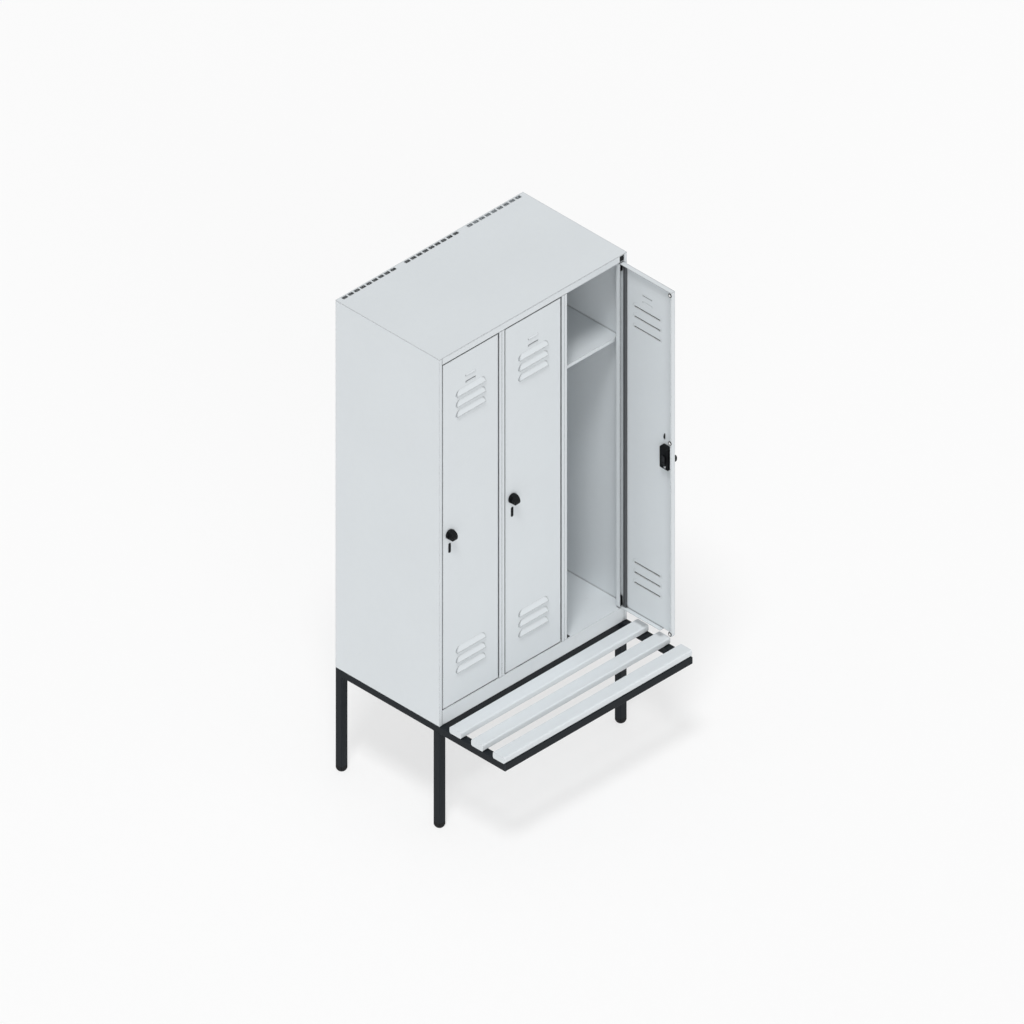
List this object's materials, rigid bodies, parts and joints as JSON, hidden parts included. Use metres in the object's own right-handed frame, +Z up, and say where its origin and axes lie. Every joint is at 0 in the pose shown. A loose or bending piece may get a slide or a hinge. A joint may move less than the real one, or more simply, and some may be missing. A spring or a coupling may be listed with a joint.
{
  "type": "clothes locker with bench",
  "caption": "Sheet-metal clothes locker with hinged louvred doors on a square-tube underframe that carries a slatted bench in front.",
  "frame": {"origin": "on the floor, under the middle of the whole with the right door open", "axes": "+X to the user's right, +Y from the front to the back, +Z up"},
  "size_m": [0.9126, 0.815, 1.95],
  "materials": {
    "body_paint": "satin powder coat, light grey",
    "frame_paint": "satin powder coat, near-black grey",
    "strip_paint": "matt, dark grey",
    "slat_plastic": "matt, light grey",
    "black_plastic": "matt, black",
    "buffer_rubber": "matt, pale",
    "bare_steel": "zinc plated",
    "dark_steel": "blackened"
  },
  "bodies": {
    "locker": {"side_rail_left": "frame_paint", "side_rail_right": "frame_paint", "front_rail": "frame_paint", "middle_rail": "frame_paint", "rear_rail": "frame_paint", "leg_front_left": "frame_paint", "leg_front_right": "frame_paint", "leg_rear_left": "frame_paint", "leg_rear_right": "frame_paint", "feet": "black_plastic", "bench_slat_1": "slat_plastic", "bench_slat_2": "slat_plastic", "bench_slat_3": "slat_plastic", "slat_end_caps": "slat_plastic", "slat_bolts": "bare_steel", "body_bolts": "bare_steel", "side_panel_left": "body_paint", "side_panel_right": "body_paint", "hinge_wall_1": "body_paint", "hinge_wall_2": "body_paint", "lock_wall_2": "body_paint", "lock_wall_3": "body_paint", "roof_panel": "body_paint", "top_rail": "body_paint", "floor_panel": "body_paint", "back_panel": "body_paint", "hat_shelf_1": "body_paint", "hat_shelf_2": "body_paint", "hat_shelf_3": "body_paint", "coat_rail_1": "bare_steel", "coat_rail_2": "bare_steel", "coat_rail_3": "bare_steel", "coat_hooks": "bare_steel", "hinge_pins": "bare_steel", "hinge_housings": "black_plastic"},
    "door_1": {"door_panel_1": "body_paint", "door_stiffener_1": "strip_paint", "door_bearings_1": "black_plastic", "door_buffers_1": "buffer_rubber", "lock_case_1": "black_plastic", "key_plate_1": "black_plastic"},
    "latch_1": {"knob_1": "black_plastic", "latch_cam_1": "dark_steel"},
    "door_2": {"door_panel_2": "body_paint", "door_stiffener_2": "strip_paint", "door_bearings_2": "black_plastic", "door_buffers_2": "buffer_rubber", "lock_case_2": "black_plastic", "key_plate_2": "black_plastic"},
    "latch_2": {"knob_2": "black_plastic", "latch_cam_2": "dark_steel"},
    "door_3": {"door_panel_3": "body_paint", "door_stiffener_3": "strip_paint", "door_bearings_3": "black_plastic", "door_buffers_3": "buffer_rubber", "lock_case_3": "black_plastic", "key_plate_3": "black_plastic"},
    "latch_3": {"knob_3": "black_plastic", "latch_cam_3": "dark_steel"}
  },
  "joints": [
    {"name": "door_1_hinge", "type": "hinge", "parent": "locker", "child": "door_1", "pos_m": [-0.18125, -0.082, 0.487], "axis": [0, 0, 1], "range_deg": [0, 90]},
    {"name": "latch_1_turn", "type": "hinge", "parent": "door_1", "child": "latch_1", "pos_m": [-0.40725, -0.1025, 1.203], "axis": [0, -1, 0], "range_deg": [0, 90]},
    {"name": "door_2_hinge", "type": "hinge", "parent": "locker", "child": "door_2", "pos_m": [0.11875, -0.082, 0.487], "axis": [0, 0, 1], "range_deg": [0, 90]},
    {"name": "latch_2_turn", "type": "hinge", "parent": "door_2", "child": "latch_2", "pos_m": [-0.10725, -0.1025, 1.203], "axis": [0, -1, 0], "range_deg": [0, 90]},
    {"name": "door_3_hinge", "type": "hinge", "parent": "locker", "child": "door_3", "pos_m": [0.41875, -0.082, 0.487], "axis": [0, 0, 1], "range_deg": [-90, 0]},
    {"name": "latch_3_turn", "type": "hinge", "parent": "door_3", "child": "latch_3", "pos_m": [0.43925, -0.308, 1.203], "axis": [1, 0, 0], "range_deg": [0, 90]}
  ]
}
